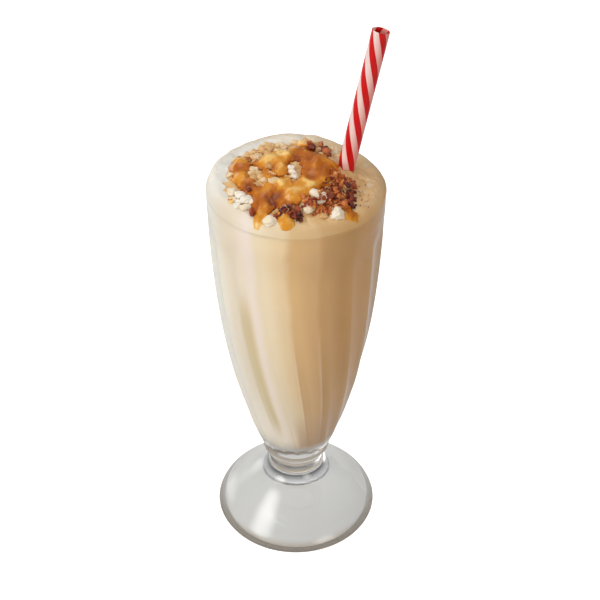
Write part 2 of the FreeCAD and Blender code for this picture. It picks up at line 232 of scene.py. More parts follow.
# Soft window light from the left, and weaker lamps: name, place, size, watts, colour.
LAMPS = [
    ("key", (-0.72, -0.5, 0.62), (0.8, 0.8), 5.4, (1, 0.985, 0.96)),
    ("fill", (0.65, -0.85, 0.38), (0.8, 0.6), 2.6, (1, 0.97, 0.93)),
    ("top", (-0.1, 0.2, 1), (0.7, 0.7), 1.4, (1, 1, 1)),
    ("back", (-0.75, 0.8, 0.34), (0.9, 0.9), 2.4, (1, 1, 1)),
]
CAMERA_PLACE = (0, -0.51235, 0.53333)
CAMERA_DOWN = 38.018  # degrees below level
CAMERA_LENS = 82.83
CAMERA_SHIFT = 0.0065


# --- Small helpers ---
def smooth_step(low, high, value):
    """0 to 1, smoothly, as the value goes from low to high."""
    u = np.clip((value - low) / (high - low), 0, 1)
    return u * u * (3 - 2 * u)


def table_value(table, z):
    """Smooth value of a (height, value) table at a height, by a cubic from row to row."""
    rows = np.array(table)
    near = np.pad(rows, ((1, 1), (0, 0)), "edge")
    run, change = (near[2:] - near[:-2]).T
    slope = change / run
    heights, values = rows.T
    z = np.clip(z, heights[0], heights[-1])
    i = int(np.searchsorted(heights[1:-1], z))
    step = heights[i + 1] - heights[i]
    u = (z - heights[i]) / step
    rise = values[i + 1] - values[i]
    cubic = (slope[i] + slope[i + 1]) * step - 2 * rise
    square = 3 * rise - (2 * slope[i] + slope[i + 1]) * step
    return values[i] + ((cubic * u + square) * u + slope[i] * step) * u


def smooth_curve(points, steps):
    """Points along a natural cubic spline through points, steps to each span."""
    p = np.array(points, float)
    t = np.concatenate([[0], np.cumsum(np.linalg.norm(np.diff(p, axis=0), axis=1))])
    h = np.diff(t)
    n = len(p)
    a = np.zeros((n, n))
    b = np.zeros((n, 2))
    a[0, 0] = a[-1, -1] = 1
    for i in range(1, n - 1):
        a[i, i - 1:i + 2] = h[i - 1], 2 * (h[i - 1] + h[i]), h[i]
        b[i] = 6 * ((p[i + 1] - p[i]) / h[i] - (p[i] - p[i - 1]) / h[i - 1])
    m = np.linalg.solve(a, b)
    out = []
    for i in range(n - 1):
        for u in np.arange(steps) / steps * h[i]:
            v = h[i] - u
            out.append((m[i] * v ** 3 + m[i + 1] * u ** 3) / (6 * h[i])
                       + (p[i] / h[i] - m[i] * h[i] / 6) * v
                       + (p[i + 1] / h[i] - m[i + 1] * h[i] / 6) * u)
    out.append(p[-1])
    return np.array(out)


def arc(centre, radius, start, end, steps):
    """Points on an arc, angles in degrees from the outward direction."""
    angles = np.radians(np.linspace(start, end, steps))
    return np.stack([centre[0] + radius * np.cos(angles), centre[1] + radius * np.sin(angles)], 1)


def waves(x, y, size, seed):
    """Smooth random field of unit spread with features of about a size."""
    rng = np.random.default_rng(seed)
    count = 28
    total = np.zeros(np.broadcast(x, y).shape)
    for _ in range(count):
        angle = rng.uniform(0, TAU)
        k = TAU / size * rng.uniform(0.6, 1.4)
        total += np.cos(k * (x * math.cos(angle) + y * math.sin(angle)) + rng.uniform(0, TAU))
    return total * math.sqrt(2 / count)


def relief(x, y, rows):
    """Waves added up, from rows of height, size and seed."""
    return sum(height * waves(x, y, size, seed) for height, size, seed in rows)


def waves3(points, size, seed):
    """The same in three dimensions for rows of points."""
    rng = np.random.default_rng(seed)
    count = 20
    direction = rng.normal(size=(count, 3))
    direction /= np.linalg.norm(direction, axis=1)[:, None]
    k = TAU / size * rng.uniform(0.6, 1.4, count)
    phase = rng.uniform(0, TAU, count)
    return np.cos(points @ (direction * k[:, None]).T + phase).sum(1) * math.sqrt(2 / count)


def turn_steps(count):
    """Angles in even steps round the axis."""
    return np.arange(count) * TAU / count


def around_axis(radius, angle):
    """X and Y at a radius, at angles that start at the front and grow to the right."""
    return radius * np.sin(angle), -radius * np.cos(angle)


def straw_axis(z):
    """X and Y of the straw's axis at a height."""
    return [at + lean * (z - LIP_Z) for at, lean in zip(STRAW_AT_LIP, STRAW_LEAN)]


def straw_distance(x, y, z):
    """Distance from the straw's axis in a level plane."""
    axis_x, axis_y = straw_axis(z)
    return np.hypot(x - axis_x, y - axis_y)


# --- Meshes ---
def new_object(name, data):
    """An object in the scene."""
    made = bpy.data.objects.new(name, data)
    bpy.context.scene.collection.objects.link(made)
    return made


def make_piece(name, vertices, faces, material, slot, smooth=True, place=None):
    """A mesh object, vertices in millimetres, riding on the one body."""
    mesh = bpy.data.meshes.new(name)
    mesh.from_pydata((np.asarray(vertices, float) * MM).tolist(), [], faces)
    mesh.polygons.foreach_set("use_smooth", [smooth] * len(mesh.polygons))
    mesh.materials.append(material)
    piece = new_object(name, mesh)
    if place:
        piece.matrix_world = place
    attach(piece, "root")
    return piece


def ring_faces(count, around, closed=False):
    """Quads between rings of points; closed also joins the last ring to the first."""
    i = np.arange(count if closed else count - 1)[:, None]
    j = np.arange(around)[None, :]
    k = (j + 1) % around
    low = i * around
    high = (i + 1) % count * around
    return np.stack([low + j, low + k, high + k, high + j], -1).reshape(-1, 4).tolist()


def ring_surface(rings, low_point, high_point):
    """Vertices and faces of a closed surface through rings, capped by a point at each end."""
    count, around = rings.shape[:2]
    vertices = np.vstack([rings.reshape(-1, 3), [low_point], [high_point]])
    faces = ring_faces(count, around)
    low = count * around
    top = (count - 1) * around
    for a in range(around):
        b = (a + 1) % around
        faces += [(b, a, low), (top + a, top + b, low + 1)]
    return vertices, faces


def turned_rings(profile, around=128):
    """Plain round rings from (radius, height) rows."""
    x, y = around_axis(profile[:, 0][:, None], turn_steps(around))
    z = np.repeat(profile[:, 1][:, None], around, 1)
    return np.stack([x, y, z], -1)


def ball(steps):
    """Vertices and faces of a unit sphere from an icosahedron split in steps."""
    shape = bmesh.new()
    bmesh.ops.create_icosphere(shape, subdivisions=steps, radius=1)
    vertices = np.array([v.co[:] for v in shape.verts])
    faces = np.array([[v.index for v in f.verts] for f in shape.faces])
    shape.free()
    return vertices, faces


def joined(shapes, faces):
    """Vertices and faces of many shapes that share a list of faces."""
    count = len(shapes[0])
    all_faces = [faces + n * count for n in range(len(shapes))]
    return np.vstack(shapes), np.vstack(all_faces).tolist()


def random_turn(rng):
    """A random rotation matrix."""
    q = rng.normal(size=4)
    q /= np.linalg.norm(q)
    return np.array(Quaternion(q).to_matrix())


def set_attribute(piece, name, values):
    """A value at each vertex, for the material."""
    layer = piece.data.attributes.new(name, "FLOAT", "POINT")
    layer.data.foreach_set("value", np.asarray(values, np.float32))


# --- Materials ---
def srgb(*rgb):
    """A linear colour from red, green and blue as seen, 0 to 255."""
    shares = [value / 255 for value in rgb]
    return (*(c / 12.92 if c <= 0.04045 else ((c + 0.055) / 1.055) ** 2.4 for c in shares), 1)


class Nodes:
    """A node tree being put together."""

    def __init__(self, tree):
        self.tree = tree

    def node(self, kind, settings=None, **inputs):
        made = self.tree.nodes.new(kind)
        for key, value in (settings or {}).items():
            setattr(made, key, value)
        for key, value in inputs.items():
            self.feed(made.inputs[key.replace("_", " ")], value)
        return made

    def feed(self, socket, value):
        if isinstance(value, bpy.types.NodeSocket):
            self.tree.links.new(value, socket)
        else:
            socket.default_value = value

    def math(self, operation, a, b=0):
        made = self.node("ShaderNodeMath", {"operation": operation})
        self.feed(made.inputs[0], a)
        self.feed(made.inputs[1], b)
        return made.outputs[0]

    plus = partialmethod(math, "ADD")
    minus = partialmethod(math, "SUBTRACT")
    times = partialmethod(math, "MULTIPLY")
    larger = partialmethod(math, "MAXIMUM")
    smaller = partialmethod(math, "MINIMUM")

    def span(self, value, low, high, way="LINEAR"):
        """0 to 1 in a straight line as the value goes from low to high."""
        made = self.node("ShaderNodeMapRange", {"interpolation_type": way}, Value=value,
                         From_Min=low, From_Max=high)
        return made.outputs["Result"]

    def fade(self, value, none, full):
        """0 to 1, smoothly, as the value goes from none to full."""
        return self.span(value, none, full, "SMOOTHSTEP")


class Recipe(Nodes):
    """A node material being put together. Places and sizes are in millimetres."""

    def __init__(self, name):
        self.material = bpy.data.materials.new(name)
        self.material.use_nodes = True
        super().__init__(self.material.node_tree)
        self.shader = self.tree.nodes["Principled BSDF"]

    def surface(self, **inputs):
        for key, value in inputs.items():
            self.feed(self.shader.inputs[key.replace("_", " ")], value)

    def finish_with(self, kind, first, second, factor=None):
        """The surface as two shaders mixed or added."""
        both = self.node(kind)
        sockets = list(both.inputs)
        if factor is not None:
            self.feed(sockets.pop(0), factor)
        self.feed(sockets[0], first.outputs[0])
        self.feed(sockets[1], second.outputs[0])
        self.feed(self.tree.nodes["Material Output"].inputs["Surface"], both.outputs[0])

    def position(self):
        return self.node("ShaderNodeTexCoord").outputs["Object"]

    def place(self):
        """X, Y and Z of the position."""
        scaled = self.node("ShaderNodeVectorMath", {"operation": "SCALE"}, Vector=self.position(),
                           Scale=1 / MM)
        return self.node("ShaderNodeSeparateXYZ", Vector=scaled.outputs["Vector"]).outputs

    def from_axis(self, x, y):
        """Distance from the middle axis."""
        return self.math("SQRT", self.plus(self.times(x, x), self.times(y, y)))

    def along(self, direction, low, high):
        """0 to 1 as the position goes from low to high along a direction."""
        dot = self.node("ShaderNodeVectorMath", {"operation": "DOT_PRODUCT"})
        self.feed(dot.inputs[0], self.position())
        dot.inputs[1].default_value = direction
        return self.span(dot.outputs["Value"], low * MM, high * MM)

    def noise(self, size, detail=3, roughness=0.55):
        """Noise of 0 to 1 with features of about a size."""
        return self.node("ShaderNodeTexNoise", Vector=self.position(), Scale=1 / (size * MM),
                         Detail=detail, Roughness=roughness).outputs["Fac"]

    def mottle(self, amount, size, detail=3):
        """Noise about zero, amount wide in all."""
        return self.times(self.minus(self.noise(size, detail), 0.5), amount)

    def bump(self, height, depth, strength=1):
        """Relief of a depth on the surface, from a height of 0 to 1."""
        made = self.node("ShaderNodeBump", Height=height, Distance=depth * MM, Strength=strength)
        self.surface(Normal=made.outputs["Normal"])

    def translucent(self, weight, reach, scale=0.5):
        """Light spreads below the surface by a reach for red, green and blue, in metres."""
        self.surface(Subsurface_Weight=weight, Subsurface_Radius=reach, Subsurface_Scale=scale)

    def attribute(self, name):
        return self.node("ShaderNodeAttribute", {"attribute_name": name}).outputs["Fac"]

    def ramp(self, value, stops):
        """A colour from rows of place and colour as seen."""
        made = self.node("ShaderNodeValToRGB", Fac=value)
        made.color_ramp.interpolation = "EASE"
        elements = made.color_ramp.elements
        while len(elements) < len(stops):
            elements.new(0.5)
        for element, (place, rgb) in zip(elements, stops):
            element.position = place
            element.color = srgb(*rgb)
        return made.outputs["Color"]

    def mix(self, factor, a, b):
        made = self.node("ShaderNodeMix", {"data_type": "RGBA"})
        self.feed(made.inputs[0], factor)
        self.feed(made.inputs[6], a)
        self.feed(made.inputs[7], b)
        return made.outputs[2]

    def tinted(self, colour, rgb, share, *fades):
        """A share of another colour mixed in, less where any fade of value, none and full is low."""
        for value, none, full in fades:
            share = self.times(share, self.fade(value, none, full))
        return self.mix(share, colour, srgb(*rgb))


def clear_glass():
    """Thick pressed glass with a faint waviness; light passes it towards the drink."""
    m = Recipe("clear_glass")
    x, y, z = m.place()
    out = m.from_axis(x, y)
    from_neck = m.math("ABSOLUTE", m.minus(z, NECK_SHADE_Z))
    clear = srgb(250, 251, 251)
    # Painted reflection: the foot's rim is tinted brown and its outer edge dark, as if the glass showed the
    # table and a dark surrounding.
    tint = m.tinted(clear, (214, 197, 176), 1, (out, 36, 39), (z, 9, 5))
    tint = m.tinted(tint, (150, 130, 106), 0.8, (out, 39.2, 40.3), (z, 5, 2.5))
    # Painted shade: a thin darker band round the neck.
    tint = m.tinted(tint, (160, 146, 128), 0.6, (from_neck, 1.1, 0.3), (out, 14, 15.5))
    m.surface(Base_Color=tint, Roughness=0.02, IOR=1.5, Transmission_Weight=1)
    m.bump(m.noise(9, 2), 0.05)
    passing = m.node("ShaderNodeBsdfTransparent", Color=clear)
    shadow = m.node("ShaderNodeLightPath").outputs["Is Shadow Ray"]
    m.finish_with("ShaderNodeMixShader", m.shader, passing, shadow)
    return m.material


def flute_place(m, x, y, z):
    """Number of flutes from the front one to the right, following their drift."""
    azimuth = m.math("ARCTAN2", x, m.times(y, -1))
    drop = m.times(m.minus(FLUTE_TOP, z), 1 / SWIRL_DROP)
    drop = m.smaller(m.larger(drop, 0), SWIRL_END)
    drift = m.times(m.times(drop, drop), math.radians(FLUTE_SWIRL))
    return m.times(m.minus(azimuth, m.plus(drift, math.radians(FLUTE_START))), FLUTES / TAU)


def drink_colour(m):
    """Paler where froth clings on the left and a painted reflection and painted light lie, deeper
    butterscotch to the right, a painted step of light at each flute.
    """
    x, y, z = m.place()
    flute = flute_place(m, x, y, z)
    place = m.plus(m.plus(flute, m.mottle(0.5, 30)), TONES_REACH)
    stops = [((at + TONES_REACH) / (2 * TONES_REACH), rgb) for at, rgb in DRINK_TONES]
    tone = m.ramp(m.times(place, 0.5 / TONES_REACH), stops)
    # Painted shade and painted highlight: a darker and a lighter band beside each arris, in the lower bowl
    # from the front to the right.
    step = m.math("FRACT", m.plus(flute, 10 + STEP_SHIFT))
    where = [(z, 150, 100), (flute, -1.3, -0.3)]
    tone = m.tinted(tone, (192, 148, 98), 0.38, *where, (step, 0.42, 0.04))
    tone = m.tinted(tone, (252, 238, 214), 0.38, *where, (step, 0.84, 0.97), (flute, 1.6, 0.4))
    # Plain behind.
    tone = m.tinted(tone, (226, 202, 166), 1, (m.math("ABSOLUTE", flute), 4.6, 7.4))
    # Paler towards the bottom, most of all on the left, where it is painted light, and browner in the
    # middle.
    left = m.plus(m.times(m.fade(flute, -0.3, -1.9), 0.72), 0.08)
    tone = m.tinted(tone, (250, 238, 222), left, (z, 118, 58))
    tone = m.tinted(tone, (198, 160, 124), 0.6, (z, 86, 62), (flute, -1.2, -0.6))
    # Painted shade in the olive streak, and the end of the drink painted pale, as it looks through thick
    # glass.
    from_shade_streak = m.math("ABSOLUTE", m.minus(flute, SHADE_STREAK_AT))
    tone = m.tinted(tone, (208, 188, 136), 0.75, (from_shade_streak, 0.42, 0.05), (z, 168, 140), (z, 58, 80))
    return m.tinted(tone, (228, 220, 216), 0.8, (z, 56, 51.5))


def milkshake_material():
    """The drink, smooth and a little translucent."""
    m = Recipe("milkshake")
    m.surface(Base_Color=drink_colour(m), Roughness=0.38)
    m.translucent(0.15, (0.006, 0.004, 0.002))
    m.bump(m.noise(2.2, 4), 0.04)
    return m.material


def foam_material():
    """Fine froth: whitish on top at the left and back, browner to the right, like the drink at the rim; the
    change from side to side is partly painted light and shade.
    """
    m = Recipe("foam")
    x, y, z = m.place()
    # Painted light and shade: the froth is paler on the lit left and back, and browner on the shaded right.
    side = m.along((0.88, -0.3, 0), -34, 30)
    top = m.ramp(m.plus(side, m.mottle(0.55, 13, 4)), [
        (0.1, (234, 232, 224)), (0.4, (237, 227, 210)), (0.68, (226, 196, 148)), (0.92, (224, 184, 126))])
    top = m.tinted(top, (242, 230, 210), 0.6, (m.noise(5, 4), 0.52, 0.66), (side, 0.45, 0.75))
    top = m.tinted(top, (150, 96, 52), 0.6, (m.noise(1.6, 2), 0.7, 0.78))
    rim = m.tinted(drink_colour(m), (196, 178, 148), 0.2, (z, LIP_Z - 2.5, LIP_Z + 1))
    share = m.smaller(m.fade(z, LIP_Z - 0.5, LIP_Z + 3.5), m.fade(m.from_axis(x, y), 38.5, 31))
    m.surface(Base_Color=m.mix(share, rim, top), Roughness=0.45)
    m.translucent(0.12, (0.005, 0.0035, 0.002))
    cell = m.node("ShaderNodeTexVoronoi", Vector=m.position(), Scale=1 / (1.3 * MM)).outputs["Distance"]
    m.bump(m.math("POWER", cell, 0.7), 0.06, 0.5)
    return m.material


def cream_material():
    """Pale cream, buttery where the warmth of a lump is high."""
    m = Recipe("cream")
    tint = m.ramp(m.plus(m.attribute("warmth"), m.mottle(0.7, 3, 4)), [
        (0, (246, 238, 224)), (0.32, (240, 220, 186)), (0.62, (224, 184, 126)), (0.95, (206, 150, 88))])
    m.surface(Base_Color=tint, Roughness=0.5)
    m.translucent(0.2, (0.004, 0.003, 0.002))
    m.bump(m.noise(1.1, 5, 0.6), 0.2)
    return m.material


def crumb_material():
    """Toasted toffee, from nearly black to golden by each crumb's tone."""
    m = Recipe("toasted_crumb")
    tint = m.ramp(m.plus(m.attribute("tone"), m.mottle(0.45, 0.7)), [
        (0, (88, 22, 10)), (0.35, (158, 62, 20)), (0.65, (210, 118, 48)), (0.95, (234, 168, 96))])
    m.surface(Base_Color=tint, Roughness=0.45)
    m.bump(m.noise(0.35, 3), 0.08)
    return m.material


def sauce_material():
    """Golden where it is thin, and as painted light where it stands proud; brown where it is deep, and
    darker as painted shade where it lies in a hollow.
    """
    m = Recipe("butterscotch_sauce")
    # Painted shade: the hollow attribute darkens the sauce in its hollows.
    dark = m.plus(m.times(m.attribute("depth"), 0.12), m.times(m.attribute("hollow"), 0.4))
    brown = m.plus(m.attribute("brown"), SAUCE_BROWN)
    tint = m.ramp(m.plus(m.plus(dark, brown), m.mottle(0.42, 6, 4)), [
        (0.14, (248, 206, 124)), (0.3, (220, 146, 40)), (0.5, (182, 98, 6)), (0.74, (130, 56, 1)),
        (0.96, (78, 26, 1))])
    m.surface(Base_Color=tint, Roughness=0.22, Specular_IOR_Level=0.28)
    m.surface(Coat_Weight=0.05, Coat_Roughness=0.15)
    m.translucent(0.06, (0.003, 0.0015, 0.0006))
    m.bump(m.noise(3, 2), 0.06)
    return m.material


def straw_material():
    """Spiral stripes from the angle and the distance along the straw's own axis."""
    m = Recipe("striped_straw")
    x, y, z = m.place()
    turns = m.times(m.math("ARCTAN2", x, m.times(y, -1)), STRIPE_STARTS / TAU)
    travel = m.times(z, 1 / STRIPE_PITCH)
    phase = m.math("FRACT", m.plus(m.plus(turns, travel), 10 - STRIPE_PHASE))
    # Distance from the middle of the red stripe, the first half of the phase.
    from_red = m.smaller(m.math("ABSOLUTE", m.minus(phase, 0.25)), m.minus(1.25, phase))
    white = m.span(from_red, 0.235, 0.275)
    red = m.mix(m.noise(8), srgb(208, 4, 6), srgb(220, 12, 12))
    # Painted light: the pale stripes turn pink towards the straw's right side, as if red light glowed
    # through the shaded paper.
    pink_glow_share = m.span(x, -0.6 * STRAW_RADIUS, 0.7 * STRAW_RADIUS)
    pale = m.mix(pink_glow_share, srgb(252, 222, 216), srgb(246, 158, 146))
    m.surface(Base_Color=m.mix(white, red, pale), Roughness=0.36, Specular_IOR_Level=0.3)
    m.translucent(0.1, (0.002, 0.001, 0.001), 0.3)
    m.bump(m.noise(1.5), 0.015)
    return m.material


# --- Glass ---
def swirl_angle(z):
    """Azimuth of the first arris at a height."""
    drop = (FLUTE_TOP - z) / SWIRL_DROP
    return math.radians(FLUTE_START + FLUTE_SWIRL * drop * drop)


def flute_depth(z, radius):
    """Depth of the hollows at a height."""
    below_lip = 1 - smooth_step(FLUTE_FULL, FLUTE_TOP, z)
    return FLUTE_DEPTH * radius * below_lip * smooth_step(FLUTE_END, FLUTE_END + FLUTE_FADE, z)


def flute_ring(radius, depth, start, z):
    """One section of the bowl: shallow hollows between crisp arrises."""
    pitch = TAU / FLUTES
    t = (np.arange(FLUTE_STEPS) / FLUTE_STEPS)[:, None]
    points = []
    for k in range(FLUTES):
        a, b, c = (start + (k + share) * pitch for share in (0, 0.5, 1))
        first = np.array(around_axis(radius, a))
        middle = np.array(around_axis(radius - depth, b))
        second = np.array(around_axis(radius, c))
        control = 2 * middle - (first + second) / 2
        points.append((1 - t) ** 2 * first + 2 * t * (1 - t) * control + t * t * second)
    flat = np.vstack(points)
    return np.column_stack([flat, np.full(len(flat), z)])


def cavity_points():
    """Inner profile of the bowl from the centre of its floor to the lip: radius, height."""
    points = [(0, CAVITY_FLOOR), (5, CAVITY_FLOOR + 0.6), (10.4, 50), (14.2, 53.6)]
    last_height, last_wall = WALL_PROFILE[-1]
    for z in (58, 66, 75, 85, 95, 108, 120, 133, 145, 158, 172, 185):
        wall = table_value(WALL_PROFILE, z)
        wall -= (last_wall - LIP_WALL) * smooth_step(last_height, 190, z)
        points.append((table_value(BOWL_PROFILE, z) - wall, z))
    points.append((LIP_RADIUS - LIP_WALL, LIP_Z - LIP_WALL / 2))
    return points


def foot_points():
    """Outer profile from the middle of the recess to the bead: radius, height."""
    sphere = (RING_INNER ** 2 + RECESS_DEPTH ** 2) / (2 * RECESS_DEPTH)
    out = np.linspace(1.2, RING_INNER, 28)
    recess = np.stack([out, RECESS_DEPTH - sphere + np.sqrt(sphere ** 2 - out ** 2)], 1)
    ring = [(RING_INNER + 0.15, 0), (35.2, 0), (RING_OUTER - 0.15, 0)]
    rim = smooth_curve([(RING_OUTER, 0), (39.3, 0.9), (FOOT_RADIUS, 2.9)], 5)
    foot = smooth_curve(FOOT_PROFILE, 5)[1:]
    bead = smooth_curve(BEAD_PROFILE, 4)[1:]
    return np.vstack([recess, ring, rim, foot, WAIST_PROFILE, bead])


def make_glass(material):
    """One closed surface: under the foot, up the fluted bowl, over the lip, down the cavity."""
    rings = []
    for r, z in foot_points():
        rings.append(flute_ring(r, 0, swirl_angle(FLUTE_BOTTOM), z))
    for z in np.concatenate([np.arange(45.4, 170, 2.2), np.arange(170, FLUTE_TOP, 1.4)]):
        radius = table_value(BOWL_PROFILE, z)
        rings.append(flute_ring(radius, flute_depth(z, radius), swirl_angle(z), z))
    band = [(LIP_RADIUS, FLUTE_TOP), (LIP_RADIUS, 190), (LIP_RADIUS, 193)]
    half_wall = LIP_WALL / 2
    lip = arc((LIP_RADIUS - half_wall, LIP_Z - half_wall), half_wall, 0, 180, 15)
    inside = smooth_curve(cavity_points(), 4)[1:-1][::-1]
    for r, z in np.vstack([band, lip, inside]):
        rings.append(flute_ring(r, 0, swirl_angle(FLUTE_TOP), z))
    surface = ring_surface(np.array(rings), (0, 0, RECESS_DEPTH), (0, 0, CAVITY_FLOOR))
    piece = make_piece("fluted_glass", *surface, material, "clear_glass")
    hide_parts("glass")


# --- Drink and head ---
def flare(z):
    """How much further the contents reach near the lip, so that no edge shows."""
    return FLARE * smooth_step(FLARE_LOW, FLARE_FULL, z)


def reaching(profile, reach):
    """A profile moved outwards along its normals."""
    tangent = np.gradient(profile, axis=0)
    normal = np.stack([tangent[:, 1], -tangent[:, 0]], 1)
    normal /= np.linalg.norm(normal, axis=1)[:, None]
    moved = profile + reach * normal
    moved[:, 0] = np.maximum(moved[:, 0], 0)
    return moved


def make_milkshake(material):
    """The drink, from the cavity's floor to just inside the froth."""
    wall = reaching(smooth_curve(cavity_points(), 5), INTO_WALL)
    wall = wall[(wall[:, 1] < FOAM_BASE) & (wall[:, 0] > 0.6)]
    wall[:, 0] += flare(wall[:, 1])
    radius = LIP_RADIUS - LIP_WALL + INTO_WALL + flare(FOAM_BASE)
    level = FOAM_BASE + 0.3
    top = [(radius, FOAM_BASE), (radius, FOAM_BASE + 0.1), (radius - 0.6, level), (16, level)]
    rings = turned_rings(np.vstack([wall, top]), 160)
    surface = ring_surface(rings, (0, 0, CAVITY_FLOOR - INTO_WALL), (0, 0, level))
    piece = make_piece("milkshake_drink", *surface, material, "milkshake")
    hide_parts("milkshake")


def rim_rise(azimuth):
    """Smooth values of RIM_RISE at azimuths in radians."""
    count = len(RIM_RISE)
    turn = np.mod(azimuth / TAU * count, count)
    i = np.floor(turn).astype(int)
    u = turn - i
    a, b, c, d = (np.take(RIM_RISE, (i + k) % count) for k in (-1, 0, 1, 2))
    bend = (2 * a - 5 * b + 4 * c - d) * u + (3 * b - a - 3 * c + d) * u * u
    return b + 0.5 * u * (c - a + bend)


def foam_height(x, y):
    """Top of the head: a dome whose edge rises and falls, rounded off all round."""
    r = np.hypot(x, y)
    crown = FOAM_CROWN + (rim_rise(np.arctan2(x, -y)) - FOAM_CROWN) * (r / FOAM_RADIUS) ** 2
    edge = r / (FOAM_RADIUS + 0.7)
    fall = np.where(edge < 1, np.minimum(edge, 1) ** FOAM_SHOULDER, 1 + FOAM_SHOULDER * (edge - 1))
    ripple = 0.22 * np.sin(0.21 * x + 0.9) * np.cos(0.24 * y - 0.4)
    return FOAM_EDGE + crown * (1 - fall) + ripple


def shoulder_drop(r):
    """How much lower the head's edge lies at a radius."""
    return SHOULDER_DROP * (np.maximum(r - SHOULDER_START, 0) / (LIP_RADIUS - SHOULDER_START)) ** 2


def foam_underside():
    """Profile inside the wall, from the end of the lap to the drink: radius, height."""
    low = FOAM_BASE - 0.1
    low_radius = LIP_RADIUS - LIP_WALL + INTO_WALL + FLARE + 0.02
    points = [(LIP_RADIUS + (low_radius - LIP_RADIUS) * share, LAP_LOW + (low - LAP_LOW) * share)
              for share in (0.2, 0.4, 0.6, 0.8, 1)]
    # Rings close to the corner keep its shading crisp.
    points += [(low_radius, low - 0.03), (low_radius - 0.01, low - 0.04), (20, low - 0.04)]
    return np.array(points)


def make_foam(material):
    """The head, with froth relief on top; it laps over the lip and reaches into it."""
    around = 360
    angle = turn_steps(around)
    outer = LIP_RADIUS + FOAM_LAP
    # The rings lie closer together towards the edge, and the relief is lower there.
    radii = np.concatenate([np.linspace(1, 34, 60), np.linspace(34.4, outer - 0.5, 16),
                            outer - np.array([0.3, 0.15, 0.06, 0])])
    rings = []
    for r in radii:
        x, y = around_axis(r, angle)
        fade = 1 - 0.75 * smooth_step(36, 39.5, r)
        top = foam_height(x, y) + fade * relief(x, y, FOAM_RELIEF) - shoulder_drop(r)
        rings.append(np.stack([x, y, top], 1))
    edge = rings[-1][:, 2]
    for share in (0.05, 0.13, 0.25, 0.4, 0.55, 0.7, 0.85, 1):
        x, y = around_axis(LIP_RADIUS + FOAM_LAP * (1 - share), angle)
        rings.append(np.stack([x, y, edge + (LAP_LOW - edge) * share], 1))
    rings += list(turned_rings(foam_underside(), around))
    peak = (0, 0, foam_height(0.0, 0.0))
    surface = ring_surface(np.array(rings)[::-1], (0, 0, FOAM_BASE - 0.14), peak)
    piece = make_piece("foam_head", *surface, material, "foam")
    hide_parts("foam")


# --- Topping ---
def heap_outline(x, y):
    """Radius of the heap's edge in a direction."""
    azimuth = np.arctan2(x, -y)
    return HEAP_RADIUS + 3.5 * np.cos(azimuth + 0.26) + 0.8 * np.sin(5 * azimuth + 0.7)


def core_height(x, y):
    """Top of the cream core: the heap's dome a little lower, swelling where sauce hides lumps."""
    ratio = np.hypot(x, y) / heap_outline(x, y)
    rise = HEAP_RISE * np.maximum(1 - ratio ** 2.6, -0.75) - HEAP_SINK * smooth_step(1.1, 0.7, ratio)
    swell = 0
    for cx, cy, radius, height in COATED_LUMPS:
        bell = np.exp(-2.2 * ((x - cx) ** 2 + (y - cy) ** 2) / radius ** 2)
        swell = swell + (SWELL * height * bell) ** 2
    return foam_height(x, y) + rise + relief(x, y, CORE_RELIEF) + np.sqrt(swell)


def make_core(material):
    """The cream core that carries the lumps, crumbs and sauce."""
    around = 240
    angle = turn_steps(around)
    outline = heap_outline(*around_axis(1, angle))
    rings = []
    for share in np.linspace(0.03, 1.04, 60):
        x, y = around_axis(share * outline, angle)
        rings.append(np.stack([x, y, core_height(x, y)], 1))
    low = rings[-1] * [0.97, 0.97, 1]
    low[:, 2] -= 2
    rings.append(low)
    peak = (0, 0, core_height(0.0, 0.0))
    vertices, faces = ring_surface(np.array(rings)[::-1], (0, 0, FOAM_EDGE), peak)
    piece = make_piece("cream_core", vertices, faces, material, "topping")
    set_attribute(piece, "warmth", np.full(len(vertices), CORE_WARMTH))
    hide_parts("topping")


def lump_list():
    """The lumps that show, and smaller ones scattered at the back."""
    rng = np.random.default_rng(seed=21)
    lumps = list(CREAM_LUMPS)
    tries = 0
    while len(lumps) < LUMPS_IN_ALL and tries < LUMP_TRIES:
        tries += 1
        angle = rng.uniform(0.3 * TAU, 0.78 * TAU)
        reach = math.sqrt(rng.uniform(0.05, 0.92))
        x, y = around_axis(reach * heap_outline(*around_axis(1, angle)), angle)
        radius = rng.uniform(1, 2.2)
        near = min(math.hypot(x - row[0], y - row[1]) - 0.62 * (radius + row[2]) for row in lumps)
        free = straw_distance(x, y, LUMPS_LEVEL) > STRAW_RADIUS + radius
        if near > 0 and free and stroke_depth(x, y, SAUCE_STROKES) < 0.3 * radius:
            lumps.append((x, y, radius, rng.uniform(0.6, 0.85), rng.uniform(0.45, 0.95)))
    return lumps


def lump_centre(lump):
    """Where a lump's middle lies."""
    x, y, radius, squash = lump[:4]
    return np.array([x, y, core_height(x, y) + LUMP_SEAT * radius * squash])


def make_lumps(material, lumps):
    """Irregular rounded lumps in the core."""
    rng = np.random.default_rng(seed=61)
    unit, faces = ball(4)
    shapes = []
    for n, lump in enumerate(lumps):
        radius, squash = lump[2:4]
        stretch = rng.uniform(0.82, 1.18, 3)
        uneven = sum(height * waves3(unit, size, seed + n) for height, size, seed in LUMP_RELIEF)
        shape = unit * (1 + uneven[:, None])
        shape = (shape * stretch) @ random_turn(rng).T * radius
        shape[:, 2] *= squash
        shapes.append(shape + lump_centre(lump))
    piece = make_piece("cream_lumps", *joined(shapes, faces), material, "topping")
    set_attribute(piece, "warmth", np.repeat([lump[4] for lump in lumps], len(unit)))


# --- Sauce ---
def blurred(values, width):
    """A field on the sauce's grid, smoothed by a Gaussian."""
    sigma = width / GRID_STEP
    reach = int(3 * sigma) + 1
    kernel = np.exp(-0.5 * (np.arange(-reach, reach + 1) / sigma) ** 2)
    kernel /= kernel.sum()
    for axis in (0, 1):
        padded = np.pad(values, [(reach, reach) if a == axis else (0, 0) for a in (0, 1)], "edge")
        values = sum(w * np.take(padded, np.arange(values.shape[axis]) + k, axis)
                     for k, w in enumerate(kernel))
    return values


